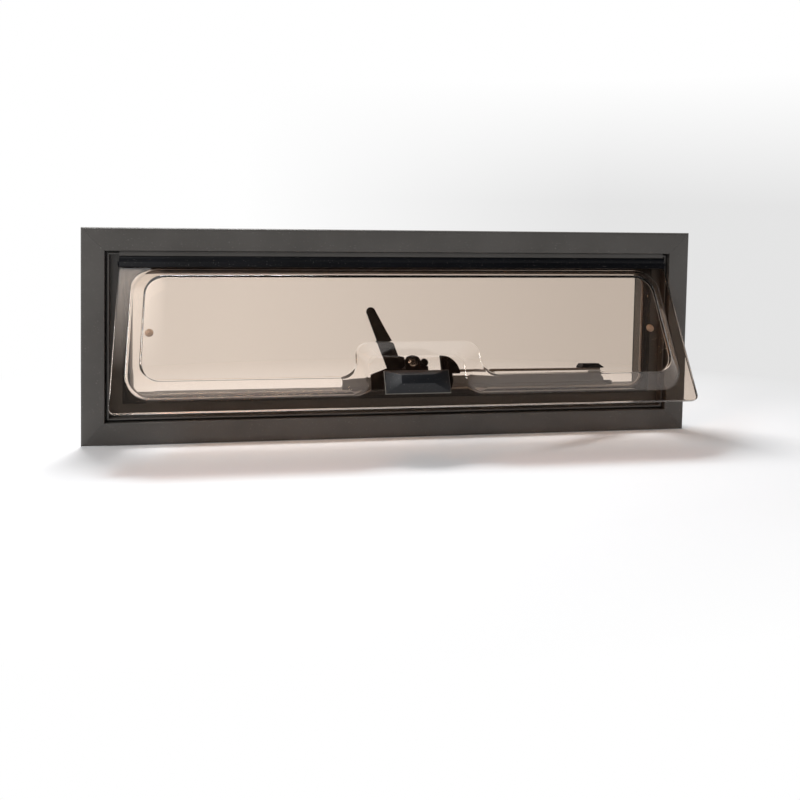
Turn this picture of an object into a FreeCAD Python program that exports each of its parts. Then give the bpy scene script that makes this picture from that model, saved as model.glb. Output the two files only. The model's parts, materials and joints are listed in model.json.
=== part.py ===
import FreeCAD, Part
import math
import os
from FreeCAD import Vector

# A small top-hung caravan window, seen from outside along +Y, in millimetres.
# X runs along the width, Y goes into the wall and Z is up. The origin is on the
# back of the flange, at the middle of the top rail, where the outer skin is.
os.makedirs("parts", exist_ok=True)

# Frame extrusion
WIDTH = 700.0
HEIGHT = 237.0
FACE = 25.0
FLANGE_OUTER = 2.2
FLANGE_INNER = 3.4
EDGE_CHAMFER = 0.7
WEB = 2.0
FLOOR_DEPTH = 12.0
WALL_DEPTH = 28.0
RIDGE_GAP = 2.4
RIDGE_WALL = 1.6
RIDGE_TIP = 1.5
REVEAL = 52.0

# Rubber seal and the trim along its inner edge
SEAL_WIDTH = 8.0
SEAL_HEIGHT = 5.4
SEAL_EDGE = 1.2
SEAL_BACK = 1.2
SEAL_CORNER = 16.0
TRIM_WIDTH = 2.4
TRIM_HEIGHT = 1.6

# Clamping ring on the room side
CLAMP_FACE = 34.0
CLAMP_THICK = 2.5
CLAMP_GAP = 0.2

# Hinge along the top: a bead on the sash rail turns in a socket on the frame's rail
AXIS_IN = 10.0
AXIS_DEPTH = 3.0
BEAD_RADIUS = 2.6
BEAD_PLAY = 0.08
NECK = 1.6
SOCKET_WALL = 1.8
SOCKET_FROM_ANGLE = 90.0
SOCKET_TO_ANGLE = 330.0
BARREL_GAP = 0.5
BARREL_WALL = 1.2
BARREL_FROM_ANGLE = 30.0
BARREL_TO_ANGLE = 100.0
HINGE_WALL = 1.4
SLOT_PLAY = 0.1
HOOK_GAP = 0.5
FOOT_THICK = 2.6
FOOT_GAP = 0.4
GRIP_OUTSIDE = 5.0
GRIP_SEAL_GAP = 0.6
CAP_THICK = 1.6

# Pane of two acrylic sheets
SHEET = 3.0
PANE_SIDE_GAP = 11.0
PANE_TOP = 5.6
PANE_LENGTH = 169.0
PANE_CORNER = 6.0
PANE_TOP_CORNER = 1.0
BORDER_SIDE = 15.0
BORDER_BOTTOM = 15.5
DOME_TOP = 13.5
DOME_RISE = 15.0
DOME_SLOPE = 15.0
DOME_BASE_RADIUS = 25.0
DOME_FACE_RADIUS = 20.0
NOTCH_MOUTH = 51.0
NOTCH_HALF = 46.0
NOTCH_TOP = 113.0
NOTCH_MOUTH_RADIUS = 16.0
NOTCH_TOP_RADIUS = 15.0
NOTCH_TOP_GROWTH = 0.4

# Opening angle of the pane, and the lever's lean from upright
REST_OPEN = 31.0
LEVER_REST = 26.0

# Latch block outside, in the middle of the lower edge
LATCH_X = 2.0
BLOCK_LENGTH = 70.0
BLOCK_HEIGHT = 25.0
BLOCK_DOWN = 129.5
BLOCK_RISE = 12.0
BLOCK_RIDGE = 38.0
BLOCK_RIDGE_WIDTH = 3.0
BLOCK_PLINTH = 3.0
RIM = 0.9
RIM_TALL = 1.2

# Latch base on the inside of the pane
BASE_LEFT = 46.0
BASE_RIGHT = 52.0
BASE_TOP = 129.0
BASE_BOTTOM = 146.0
BASE_THICK = 3.5
BASE_SLANT_LONG = 16.0
BASE_SLANT_TALL = 8.0
SEAT_RADIUS = 9.1
STOP_RADIUS = 3.4
STOP_AWAY = 13.5
STOP_TALL = 4.0
BRACKET_RADIUS = 18.0

# Lever and tongue on their hub
HUB_DOWN = 121.0
HUB_RADIUS = 7.6
HUB_PLAY = 0.3
LEVER_THICK = 4.0
LEVER_LENGTH = 76.0
LEVER_LEFT = 12.0
LEVER_RIGHT = 1.0
LEVER_WIDE_LEFT = 14.0
LEVER_TIP = 4.6
COLLAR_UP = 27.0
COLLAR_LONG = 7.0
COLLAR_PROUD = 0.6
TONGUE_LENGTH = 22.0
TONGUE_WIDTH = 8.0
TONGUE_THICK = 2.5
TONGUE_GAP = 2.0
SCREW_RADIUS = 2.6
SCREW_PLAY = 0.08
SCREW_HEAD_RADIUS = 4.2
SCREW_HEAD = 1.6
SCREW_HEAD_PLAY = 0.3
NUT_RADIUS = 4.6
NUT_TALL = 2.4

# Keeper bar on the sill, with the stay that slides along it
BAR_REACH = 50.0
BAR_END = 4.0
BAR_TALL = 13.5
BAR_DEPTH = 13.0
BAR_THICK = 3.0
BAR_FOOT = 1.5
BAR_FOOT_GAP = 1.0
SHOE_LENGTH = 26.0
SHOE_SKIRT = 8.0
SHOE_PLAY = 0.3
SHOE_WALL = 2.5
SHOE_STOP_GAP = 1.0
SHOE_BOSS = 1.3
STAY_FROM_SIDE = 107.0
STAY_PIN_IN = 6.0
STAY_THICK = 2.5
STAY_WIDTH = 11.0
STAY_GAP = 2.2
STAY_LIFT = 0.3
CLIP_LONG = 30.0
CLIP_TALL = 2.0

# Vent plugs through the inner sheet
PLUG_RADIUS = 4.6
PLUG_IN = 38.5
PLUG_DOWN = 84.0
PLUG_PROUD = 1.2

SIDES = ("top", "bottom", "left", "right")
TOP = FACE / 2
BOTTOM = TOP - HEIGHT
SIDE = WIDTH / 2
AXIS_Y = AXIS_DEPTH
AXIS_Z = TOP - FACE - AXIS_IN
HINGE = Vector(0, AXIS_Y, AXIS_Z)
SEAL_OUTER = REVEAL - SEAL_BACK - SEAL_WIDTH
PANE_HALF = SIDE - FACE - PANE_SIDE_GAP


def save(name, shape):
    shape.exportStep("parts/" + name + ".step")
    box = shape.BoundBox
    print(name, len(shape.Solids), round(shape.Volume), shape.isValid(),
          [round(v, 1) for v in (box.XMin, box.XMax, box.YMin, box.YMax, box.ZMin, box.ZMax)])


# Tools for outlines and solids
def wire(points):
    return Part.makePolygon([Vector(*p) for p in points] + [Vector(*points[0])])


def prism(points, along):
    return Part.Face(wire(points)).extrude(Vector(*along))


def block(low, high):
    size = [h - l for l, h in zip(low, high)]
    return Part.makeBox(size[0], size[1], size[2], Vector(*low))


def rounded(points, radii, y):
    """A closed outline in the XZ plane at depth y, each corner an arc of its own radius."""
    corners = [Vector(x, y, z) for x, z in points]
    starts = []
    middles = []
    ends = []
    for i, here in enumerate(corners):
        before = (corners[i - 1] - here).normalize()
        after = (corners[(i + 1) % len(corners)] - here).normalize()
        half = before.getAngle(after) / 2
        bisector = (before + after).normalize()
        reach = radii[i] / math.tan(half)
        starts.append(here + before * reach)
        ends.append(here + after * reach)
        middles.append(here + bisector * (radii[i] / math.sin(half) - radii[i]))
    edges = []
    for i in range(len(corners)):
        edges.append(Part.Arc(starts[i], middles[i], ends[i]).toShape())
        edges.append(Part.LineSegment(ends[i], starts[(i + 1) % len(corners)]).toShape())
    return Part.Wire(edges)


def inset_corners(inset):
    """Corners of the rectangle that lies the given inset inside the frame's outer edge."""
    left, right = -SIDE + inset, SIDE - inset
    low, high = BOTTOM + inset, TOP - inset
    return [(left, low), (right, low), (right, high), (left, high)]


def plate(points, radii, y_from, y_to):
    return Part.Face(rounded(points, radii, y_from)).extrude(Vector(0, y_to - y_from, 0))


def sharp_plate(points, y_from, y_to):
    return prism([(x, y_from, z) for x, z in points], (0, y_to - y_from, 0))


def mitre(side):
    """The wedge of space that one of the four mitred sides fills."""
    outer = inset_corners(-WEB)
    inner = inset_corners(REVEAL + SEAL_WIDTH)
    first = ("bottom", "right", "top", "left").index(side)
    second = (first + 1) % 4
    corners = [outer[first], outer[second], inner[second], inner[first]]
    return sharp_plate(corners, -FACE, WALL_DEPTH + FACE)


def place(side, inset, y):
    """A point of a rail's section, at the rail's own start."""
    spots = {"bottom": (-SIDE, y, BOTTOM + inset), "top": (-SIDE, y, TOP - inset),
             "left": (-SIDE + inset, y, BOTTOM), "right": (SIDE - inset, y, BOTTOM)}
    return spots[side]


def rail(side, section):
    along = (WIDTH, 0, 0) if side in ("bottom", "top") else (0, 0, HEIGHT)
    body = prism([place(side, u, y) for u, y in section], along)
    return body.common(mitre(side))


# Frame rails: one section, mitred at the corners
ridge_start = FACE + RIDGE_GAP
ridge_end = ridge_start + RIDGE_WALL
frame_section = [
    (0, 0), (0, -FLANGE_OUTER + EDGE_CHAMFER), (EDGE_CHAMFER, -FLANGE_OUTER),
    (FACE, -FLANGE_INNER), (FACE, FLOOR_DEPTH),
    (ridge_start, FLOOR_DEPTH), (ridge_start, RIDGE_TIP),
    (ridge_end, RIDGE_TIP), (ridge_end, FLOOR_DEPTH),
    (REVEAL, FLOOR_DEPTH), (REVEAL, WALL_DEPTH), (REVEAL - WEB, WALL_DEPTH),
    (REVEAL - WEB, FLOOR_DEPTH + WEB), (FACE - WEB, FLOOR_DEPTH + WEB), (FACE - WEB, 0)]
for side in SIDES:
    save("frame_" + side + "_rail", rail(side, frame_section))

# Rubber seal on the channel floor: square outside corners, round inside ones
seal_front = FLOOR_DEPTH - SEAL_HEIGHT
seal_inner = inset_corners(SEAL_OUTER + SEAL_WIDTH)
seal_ring = sharp_plate(inset_corners(SEAL_OUTER), seal_front, FLOOR_DEPTH)
seal_ring = seal_ring.cut(plate(seal_inner, [SEAL_CORNER] * 4, seal_front, FLOOR_DEPTH))
front_edges = [e for e in seal_ring.Edges if e.BoundBox.YMax - seal_front < SLOT_PLAY]
seal_ring = seal_ring.makeFillet(SEAL_EDGE, front_edges)
for side in SIDES:
    save("seal_" + side, seal_ring.common(mitre(side)))

# Grey trim that finishes the seal's inner edge and covers the top of the reveal
trim_front = FLOOR_DEPTH - TRIM_HEIGHT
trim_ring = plate(seal_inner, [SEAL_CORNER] * 4, trim_front, FLOOR_DEPTH)
trim_inner = inset_corners(SEAL_OUTER + SEAL_WIDTH + TRIM_WIDTH)
trim_ring = trim_ring.cut(plate(trim_inner, [SEAL_CORNER - TRIM_WIDTH] * 4, trim_front, FLOOR_DEPTH))
for side in SIDES:
    save("trim_" + side, trim_ring.common(mitre(side)))

# Clamping ring that holds the wall between itself and the flange
clamp_y = WALL_DEPTH + CLAMP_GAP
clamp_section = [(REVEAL - CLAMP_FACE, clamp_y), (REVEAL - CLAMP_FACE, clamp_y + CLAMP_THICK),
                 (REVEAL, clamp_y + CLAMP_THICK), (REVEAL, clamp_y)]
for side in SIDES:
    save("clamp_" + side, rail(side, clamp_section))


# Places on the closed pane: s runs down from the hinge axis and n out from its plane
def down(s):
    return AXIS_Z - s


def out(n):
    return AXIS_Y - n


def tilt(shape):
    """Swings a piece of the closed pane out to the angle at which it stands open."""
    turned = shape.copy()
    turned.rotate(HINGE, Vector(1, 0, 0), -REST_OPEN)
    return turned


def hinge_ring(inner, outer, from_angle, to_angle, length):
    """Part of a tube round the hinge axis; 0 degrees is straight down, 90 is outside."""
    start = Vector(-length / 2, AXIS_Y, AXIS_Z)
    ring = Part.makeCylinder(outer, length, start, Vector(1, 0, 0))
    ring = ring.cut(Part.makeCylinder(inner, length, start, Vector(1, 0, 0)))
    steps = math.ceil(abs(to_angle - from_angle) / 30)
    fan = [(-length / 2, AXIS_Y, AXIS_Z)]
    for i in range(steps + 1):
        angle = math.radians(from_angle + (to_angle - from_angle) * i / steps)
        fan.append((-length / 2, out(2 * outer * math.sin(angle)), down(2 * outer * math.cos(angle))))
    return ring.common(prism(fan, (length, 0, 0)))


def across(points, length):
    """A bar along the width whose section is given as (depth, height) points."""
    return prism([(-length / 2, y, z) for y, z in points], (length, 0, 0))


def band(n_low, n_high, s_low, s_high, length):
    return across([(out(n_low), down(s_low)), (out(n_low), down(s_high)),
                   (out(n_high), down(s_high)), (out(n_high), down(s_low))], length)


# Hinge rail of the frame: hooks over the ridge, stands on the channel floor, holds the socket
hinge_length = 2 * PANE_HALF
socket_inner = BEAD_RADIUS + BEAD_PLAY
socket_outer = socket_inner + SOCKET_WALL
hook_back = RIDGE_TIP - SLOT_PLAY
hook_front = hook_back - HINGE_WALL
hook_high = TOP - FACE - HOOK_GAP
stem_high = TOP - ridge_end - SLOT_PLAY
stem_low = stem_high - HINGE_WALL
foot_front = FLOOR_DEPTH - FOOT_THICK
foot_low = TOP - SEAL_OUTER + FOOT_GAP
hinge_frame = across([(hook_front, hook_high), (hook_front, stem_low), (foot_front, stem_low),
                      (foot_front, foot_low), (FLOOR_DEPTH, foot_low), (FLOOR_DEPTH, stem_high),
                      (hook_back, stem_high), (hook_back, hook_high)], hinge_length)
bridge_low = AXIS_Z + socket_inner + SOCKET_WALL / 2
bridge = block((-hinge_length / 2, AXIS_Y - SOCKET_WALL / 2, bridge_low),
               (hinge_length / 2, AXIS_Y + SOCKET_WALL / 2, stem_high))
socket = hinge_ring(socket_inner, socket_outer, SOCKET_FROM_ANGLE, SOCKET_TO_ANGLE, hinge_length)
save("hinge_frame_rail", hinge_frame.fuse([socket, bridge]).removeSplitter())

# Hinge rail of the sash: bead, neck, grip on the sheets and a curved cover
grip_top = PANE_TOP - HINGE_WALL
grip_out_low = PANE_TOP + GRIP_OUTSIDE
grip_in_low = SEAL_OUTER - FACE - AXIS_IN - GRIP_SEAL_GAP
grip_half = SHEET + HINGE_WALL
barrel_inner = socket_outer + BARREL_GAP
bead = Part.makeCylinder(BEAD_RADIUS, hinge_length, Vector(-hinge_length / 2, AXIS_Y, AXIS_Z),
                         Vector(1, 0, 0))
sash_parts = [band(-NECK / 2, NECK / 2, 0, PANE_TOP, hinge_length),
              band(-grip_half, grip_half, grip_top, PANE_TOP, hinge_length),
              band(SHEET, grip_half, grip_top, grip_out_low, hinge_length),
              band(-grip_half, -SHEET, grip_top, grip_in_low, hinge_length),
              hinge_ring(barrel_inner, barrel_inner + BARREL_WALL, BARREL_FROM_ANGLE, BARREL_TO_ANGLE,
                         hinge_length)]
save("hinge_sash_rail", tilt(bead.fuse(sash_parts).removeSplitter()))
cap = band(-grip_half, grip_half, grip_top, grip_in_low, CAP_THICK)
caps = [cap.translated(Vector(way * (hinge_length + CAP_THICK) / 2, 0, 0)) for way in (-1, 1)]
save("hinge_end_caps", tilt(Part.makeCompound(caps)))

# Pane: a flat inner sheet and a domed outer sheet, bonded along their border
pane_outline = [(-PANE_HALF, down(PANE_LENGTH)), (PANE_HALF, down(PANE_LENGTH)),
                (PANE_HALF, down(PANE_TOP)), (-PANE_HALF, down(PANE_TOP))]
pane_radii = [PANE_CORNER, PANE_CORNER, PANE_TOP_CORNER, PANE_TOP_CORNER]
save("inner_sheet", tilt(plate(pane_outline, pane_radii, out(0), out(-SHEET))))


def dome_outline(inset, n):
    """The dome's outline at a distance n out from the hinge plane, with its notch for the latch."""
    wide = PANE_HALF - BORDER_SIDE - inset
    low = down(PANE_LENGTH - BORDER_BOTTOM - inset)
    high = down(DOME_TOP + inset)
    notch_high = down(NOTCH_TOP - inset)
    mouth = NOTCH_MOUTH + inset
    narrow = NOTCH_HALF + inset
    corner = DOME_BASE_RADIUS + (DOME_FACE_RADIUS - DOME_BASE_RADIUS) * inset / DOME_SLOPE
    inside = NOTCH_TOP_RADIUS + NOTCH_TOP_GROWTH * inset
    points = [(-wide, low), (LATCH_X - mouth, low), (LATCH_X - narrow, notch_high),
              (LATCH_X + narrow, notch_high), (LATCH_X + mouth, low), (wide, low),
              (wide, high), (-wide, high)]
    radii = [corner, NOTCH_MOUTH_RADIUS, inside, inside, NOTCH_MOUTH_RADIUS, corner, corner, corner]
    return rounded(points, radii, out(n))


def dome(thinner):
    """The raised volume, or the same one sheet thickness further in."""
    slope = DOME_SLOPE / DOME_RISE
    start = thinner * (math.hypot(1, slope) - slope)
    first = dome_outline(start, SHEET - thinner)
    last = dome_outline(start + DOME_SLOPE, SHEET + DOME_RISE - thinner)
    return Part.makeLoft([first, last], True, True)


border = plate(pane_outline, pane_radii, out(0), out(SHEET))
save("outer_dome_sheet", tilt(border.fuse(dome(0)).cut(dome(SHEET)).removeSplitter()))


def taper(low_outline, n_low, high_outline, n_high):
    wires = [wire([(x, out(n_low), down(s)) for x, s in low_outline]),
             wire([(x, out(n_high), down(s)) for x, s in high_outline])]
    return Part.makeLoft(wires, True, True)


def rectangle(x_low, x_high, s_low, s_high):
    return [(x_low, s_low), (x_high, s_low), (x_high, s_high), (x_low, s_high)]


def pane_plate(points, n_low, n_high):
    return prism([(x, out(n_low), down(s)) for x, s in points], (0, n_low - n_high, 0))


def pane_post(x, s, radius, n_low, n_high):
    return Part.makeCylinder(radius, n_high - n_low, Vector(x, out(n_high), down(s)), Vector(0, 1, 0))


# Latch block outside: a low plinth under a hipped hood, with a rim round its foot
block_left = LATCH_X - BLOCK_LENGTH / 2
block_right = LATCH_X + BLOCK_LENGTH / 2
block_bottom = BLOCK_DOWN + BLOCK_HEIGHT
ridge_top = BLOCK_DOWN + (BLOCK_HEIGHT - BLOCK_RIDGE_WIDTH) / 2
foot_outline = rectangle(block_left, block_right, BLOCK_DOWN, block_bottom)
ridge_outline = rectangle(LATCH_X - BLOCK_RIDGE / 2, LATCH_X + BLOCK_RIDGE / 2,
                          ridge_top, ridge_top + BLOCK_RIDGE_WIDTH)
plinth = pane_plate(foot_outline, SHEET, SHEET + BLOCK_PLINTH)
hood = taper(foot_outline, SHEET + BLOCK_PLINTH, ridge_outline, SHEET + BLOCK_RISE)
save("latch_block", tilt(plinth.fuse(hood).removeSplitter()))
rim_outline = rectangle(block_left - RIM, block_right + RIM, BLOCK_DOWN - RIM, block_bottom + RIM)
save("block_rim", tilt(pane_plate(rim_outline, SHEET, SHEET + RIM_TALL).cut(plinth)))

# Latch base inside: carries the hub's screw, the lever's stop and the stay's bracket
base_in = -SHEET - BASE_THICK
screw_bore = SCREW_RADIUS + SCREW_PLAY
head_back = -SHEET - SCREW_HEAD_PLAY - SCREW_HEAD
base_left = LATCH_X - BASE_LEFT
base_right = LATCH_X + BASE_RIGHT
base = pane_plate([(base_left, BASE_BOTTOM), (base_right, BASE_BOTTOM), (base_right, BASE_TOP),
                   (base_left + BASE_SLANT_LONG, BASE_TOP),
                   (base_left, BASE_TOP + BASE_SLANT_TALL)], base_in, -SHEET)
seat = pane_post(LATCH_X, HUB_DOWN, SEAT_RADIUS, base_in, -SHEET)
seat_foot = pane_plate(rectangle(LATCH_X - SEAT_RADIUS, LATCH_X + STOP_AWAY + STOP_RADIUS,
                                 HUB_DOWN, BASE_TOP), base_in, -SHEET)
stop_seat = pane_post(LATCH_X + STOP_AWAY, HUB_DOWN, STOP_RADIUS, base_in, -SHEET)
base = base.fuse([seat, seat_foot, stop_seat])
base = base.cut(pane_post(LATCH_X, HUB_DOWN, screw_bore, base_in, -SHEET))
head_room = pane_post(LATCH_X, HUB_DOWN, SCREW_HEAD_RADIUS + SCREW_HEAD_PLAY,
                      head_back - SCREW_HEAD_PLAY, -SHEET)
save("latch_base", tilt(base.cut(head_room).removeSplitter()))
save("lever_stop", tilt(pane_post(LATCH_X + STOP_AWAY, HUB_DOWN, STOP_RADIUS,
                                  base_in - STOP_TALL, base_in)))
quarter = [(base_right - BRACKET_RADIUS * (1 - math.sin(math.radians(a))),
            BASE_TOP - BRACKET_RADIUS * math.cos(math.radians(a))) for a in range(0, 91, 15)]
bracket = pane_plate([(base_right - BRACKET_RADIUS, BASE_TOP)] + quarter, base_in, -SHEET)
save("stay_bracket", tilt(bracket))


# Lever, drawn upright, with its tongue pointing left
def hand(shape):
    """Leans a piece of the upright lever about the hub, then swings it out with the pane."""
    turned = shape.copy()
    turned.rotate(Vector(LATCH_X, 0, down(HUB_DOWN)), Vector(0, -1, 0), LEVER_REST)
    return tilt(turned)


def lever_plate(points, n_low, n_high):
    """A plate whose points are given to the right of the hub and above it."""
    return pane_plate([(LATCH_X + right, HUB_DOWN - up) for right, up in points], n_low, n_high)


def hub_post(radius, n_low, n_high):
    return pane_post(LATCH_X, HUB_DOWN, radius, n_low, n_high)


lever_out = base_in - HUB_PLAY
lever_in = lever_out - LEVER_THICK
tongue_out = AXIS_Y - (BAR_DEPTH + BAR_THICK + TONGUE_GAP)
tongue_in = tongue_out - TONGUE_THICK
tip_up = LEVER_LENGTH - LEVER_TIP
collar_high = COLLAR_UP + COLLAR_LONG
blade = lever_plate([(-LEVER_LEFT, 0), (LEVER_RIGHT, 0), (LEVER_RIGHT, collar_high), (LEVER_TIP, tip_up),
                     (-LEVER_TIP, tip_up), (-LEVER_WIDE_LEFT, collar_high),
                     (-LEVER_WIDE_LEFT, COLLAR_UP), (-LEVER_LEFT, HUB_RADIUS)], lever_in, lever_out)
tip = pane_post(LATCH_X, HUB_DOWN - tip_up, LEVER_TIP, lever_in, lever_out)
hub = hub_post(HUB_RADIUS, tongue_in, lever_out)
handle = blade.fuse([tip, hub]).cut(hub_post(SCREW_RADIUS, tongue_in, lever_out))
save("lever_handle", hand(handle.removeSplitter()))
collar = lever_plate([(-LEVER_WIDE_LEFT - COLLAR_PROUD, COLLAR_UP),
                      (LEVER_RIGHT + COLLAR_PROUD, COLLAR_UP),
                      (LEVER_RIGHT + COLLAR_PROUD, collar_high),
                      (-LEVER_WIDE_LEFT - COLLAR_PROUD, collar_high)],
                     lever_in - COLLAR_PROUD, lever_out)
save("lever_collar", hand(collar.cut(blade)))
tongue = lever_plate([(-TONGUE_LENGTH, -TONGUE_WIDTH / 2), (0, -TONGUE_WIDTH / 2),
                      (0, TONGUE_WIDTH / 2), (-TONGUE_LENGTH, TONGUE_WIDTH / 2)], tongue_in, tongue_out)
save("lever_tongue", hand(tongue.cut(hub_post(HUB_RADIUS, tongue_in, tongue_out))))
screw = hub_post(SCREW_RADIUS, tongue_in, head_back)
screw_head = hub_post(SCREW_HEAD_RADIUS, head_back, head_back + SCREW_HEAD)
screw_nut = hub_post(NUT_RADIUS, tongue_in - NUT_TALL, tongue_in)
save("hub_screw", hand(screw.fuse([screw_head, screw_nut]).removeSplitter()))

# Vent plugs through the inner sheet, near its side edges
plug_x = PANE_HALF - PLUG_IN
plugs = [pane_post(x, PLUG_DOWN, PLUG_RADIUS, -SHEET - PLUG_PROUD, -SHEET) for x in (-plug_x, plug_x)]
save("vent_plugs", tilt(Part.makeCompound(plugs)))

# The stay's arm turns on the shoe, square to the plane that holds its closed and open places
sill = BOTTOM + REVEAL
bar_back = BAR_DEPTH + BAR_THICK
bar_top = sill + BAR_TALL
shoe_high = bar_top + SHOE_PLAY + SHOE_WALL
stay_rest_x = SIDE - STAY_FROM_SIDE
bracket_x = base_right - STAY_PIN_IN
pivot = Vector(stay_rest_x, BAR_DEPTH + BAR_THICK / 2, shoe_high + SHOE_BOSS)
closed_end = Vector(bracket_x, out(base_in - STAY_GAP - STAY_WIDTH / 2), down(BASE_TOP))
open_end = tilt(Part.Vertex(closed_end)).Point
arm_length = (open_end - pivot).Length
drop = closed_end - pivot
closed_x = bracket_x + math.sqrt(arm_length ** 2 - drop.y ** 2 - drop.z ** 2)
closed_way = (closed_end - Vector(closed_x, pivot.y, pivot.z)).normalize()
open_way = (open_end - pivot).normalize()
stay_axis = closed_way.cross(open_way).normalize()
stay_turn = math.degrees(closed_way.getAngle(open_way))

# Keeper bar on the sill; the tongue turns behind it and the stay's shoe runs on it
stop_x = closed_x + SHOE_LENGTH / 2 + SHOE_STOP_GAP
bar_right = stop_x + BAR_END
bar_left = LATCH_X - BAR_REACH
bar = block((bar_left, BAR_DEPTH, sill), (bar_right, bar_back, bar_top))
bar_foot = block((bar_left, BAR_DEPTH, sill), (bar_right, WALL_DEPTH - BAR_FOOT_GAP, sill + BAR_FOOT))
save("keeper_bar", bar.fuse(bar_foot).removeSplitter())
trim_top = sill - SEAL_BACK + TRIM_WIDTH
save("bar_stop", block((stop_x, BAR_DEPTH - SHOE_WALL, trim_top), (bar_right, BAR_DEPTH, bar_top)))

shoe_left = stay_rest_x - SHOE_LENGTH / 2
shoe_right = stay_rest_x + SHOE_LENGTH / 2
shoe_low = bar_top - SHOE_SKIRT
shoe = block((shoe_left, BAR_DEPTH - SHOE_PLAY - SHOE_WALL, shoe_low),
             (shoe_right, bar_back + SHOE_PLAY + SHOE_WALL, shoe_high))
groove = block((shoe_left, BAR_DEPTH - SHOE_PLAY, shoe_low),
               (shoe_right, bar_back + SHOE_PLAY, bar_top + SHOE_PLAY))
boss = Part.makeCylinder(STAY_WIDTH / 2, SHOE_BOSS + SHOE_WALL, pivot, stay_axis * -1)
save("stay_shoe", shoe.fuse(boss).cut(groove).removeSplitter())


def lay(shape):
    """Places a piece of the stay, made along X on the pivot, where the open stay lies."""
    placed = shape.copy()
    placed.Placement = FreeCAD.Placement(pivot, FreeCAD.Rotation(open_way, stay_axis.cross(open_way),
                                                                 stay_axis, "ZXY"))
    return placed


half_stay = STAY_WIDTH / 2
arm_high = STAY_LIFT + STAY_THICK
arm = block((0, -half_stay, STAY_LIFT), (arm_length, half_stay, arm_high))
arm = arm.fuse(Part.makeCylinder(half_stay, STAY_THICK, Vector(0, 0, STAY_LIFT)))
save("stay_arm", lay(arm.removeSplitter()))
save("stay_clip", lay(block((-half_stay, -half_stay, arm_high),
                            (CLIP_LONG - half_stay, half_stay, arm_high + CLIP_TALL))))

print("hinge", HINGE)
print("hub", tilt(Part.Vertex(Vector(LATCH_X, AXIS_Y, down(HUB_DOWN)))).Point)
print("pivot", pivot, "axis", stay_axis, "turn", stay_turn, "closed x", closed_x, "length", arm_length)
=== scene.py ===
# %% [markdown]
# A caravan window in Blender. The window is a mitred aluminium frame with a black rubber
# seal, and a double acrylic pane that is hinged along the top and stands open.

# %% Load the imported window
import json
import math
import bmesh
import bpy
from mathutils import Matrix, Vector
from mathutils.geometry import tessellate_polygon


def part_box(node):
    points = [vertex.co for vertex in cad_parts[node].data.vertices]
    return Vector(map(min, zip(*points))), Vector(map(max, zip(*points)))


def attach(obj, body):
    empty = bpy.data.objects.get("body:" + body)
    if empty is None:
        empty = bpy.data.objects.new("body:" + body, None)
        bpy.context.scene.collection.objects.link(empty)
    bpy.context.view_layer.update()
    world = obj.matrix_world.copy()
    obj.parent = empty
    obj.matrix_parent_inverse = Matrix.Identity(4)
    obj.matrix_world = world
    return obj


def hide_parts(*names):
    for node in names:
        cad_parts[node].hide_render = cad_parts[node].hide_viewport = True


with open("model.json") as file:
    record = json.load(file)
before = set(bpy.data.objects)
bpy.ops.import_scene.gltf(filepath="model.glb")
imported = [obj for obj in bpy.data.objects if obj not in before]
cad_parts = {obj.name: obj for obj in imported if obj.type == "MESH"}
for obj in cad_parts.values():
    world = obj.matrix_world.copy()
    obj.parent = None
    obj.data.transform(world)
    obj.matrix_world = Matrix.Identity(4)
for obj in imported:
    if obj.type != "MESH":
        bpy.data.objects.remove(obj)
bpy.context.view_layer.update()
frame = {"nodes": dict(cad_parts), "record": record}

# %% [markdown]
# The sizes of the real thing are written once, in millimetres, with the same origin as the
# solids: on the back of the flange, in the middle of the top rail. X runs along the width,
# Y goes into the wall and Z is up. The pane hangs 4 mm to the right of the frame's middle.

# %% Sizes that several pieces share
MM = 0.001
SIDE = 350.0
TOP = 12.5
BOTTOM = -224.5
FACE = 25.0
FLOOR_DEPTH = 12.0
WALL_DEPTH = 28.0
REVEAL = 52.0
AXIS_Y = 3.0
AXIS_Z = -22.5
OPEN = math.radians(31.0)
SHEET = 3.0
PANE_X = 4.0
PANE_HALF = 314.0
PANE_TOP = 5.6
PANE_LENGTH = 171.0
LATCH_X = 4.8
HUB_X = 2.0
HUB_DOWN = 121.0
SILL = BOTTOM + REVEAL


def on_pane(x, s, n):
    """A place on the open pane: s runs down from the hinge, n out from the bond of the sheets."""
    y = AXIS_Y - (n * math.cos(OPEN) + s * math.sin(OPEN))
    z = AXIS_Z - (s * math.cos(OPEN) - n * math.sin(OPEN))
    return Vector((x, y, z)) * MM


def in_frame(x, y, z):
    return Vector((x, y, z)) * MM


print("lower edge of the open pane:", [round(v, 4) for v in on_pane(0, PANE_LENGTH, 0)])

# %% [markdown]
# The camera stands to the left and a little above the window. Its place and turn were
# fitted to the corners of the frame and the pane. A shift of the lens keeps the window
# high in the picture while the camera looks nearly level.

# %% Camera
CAMERA_PLACE = (-196.6, -926.3, 46.1)
PITCH, YAW, ROLL = 2.750, -9.097, 0.894
camera_data = bpy.data.cameras.new("camera")
camera_data.sensor_width = 36.0
camera_data.lens = 37.614
camera_data.shift_x = 0.05
camera_data.shift_y = -0.20
camera_data.clip_start = 0.01
camera = bpy.data.objects.new("camera", camera_data)
bpy.context.scene.collection.objects.link(camera)
bpy.context.scene.camera = camera
level = Matrix(((1, 0, 0), (0, 0, -1), (0, 1, 0)))
turn = level
for angle, axis in ((YAW, "Y"), (PITCH, "X"), (ROLL, "Z")):
    turn = Matrix.Rotation(math.radians(angle), 3, axis) @ turn
axes = Matrix((turn.row[0], -turn.row[1], -turn.row[2])).transposed().to_4x4()
camera.matrix_world = Matrix.Translation(Vector(CAMERA_PLACE) * MM) @ axes
bpy.context.scene.view_settings.view_transform = "Standard"
print("camera at", [round(v, 3) for v in camera.matrix_world.translation])

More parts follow.
